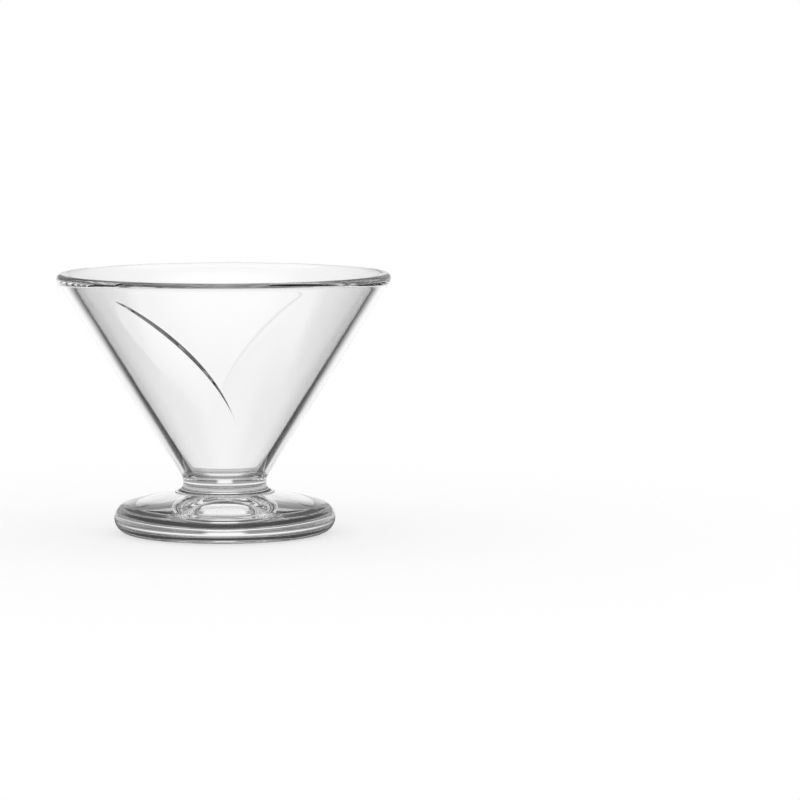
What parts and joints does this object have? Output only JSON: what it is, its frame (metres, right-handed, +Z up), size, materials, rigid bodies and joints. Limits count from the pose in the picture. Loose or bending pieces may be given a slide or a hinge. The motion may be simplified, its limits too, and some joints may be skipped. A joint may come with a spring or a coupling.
{
  "type": "footed dessert bowl",
  "caption": "Footed dessert bowl of clear pressed glass: a conical cup with two leaves raised on the inside of its wall, a waisted collar and a thick domed foot to stand on.",
  "frame": {"origin": "centre of the foot's underside, on the surface it stands on", "axes": "+Z up along the bowl's axis, -Y towards the viewer of the picture"},
  "size_m": [0.11, 0.11, 0.0858],
  "materials": {
    "clear_glass": "clear, fire-polished"
  },
  "bodies": {
    "root": {"bowl": "clear_glass", "collar": "clear_glass", "foot": "clear_glass"}
  },
  "joints": []
}
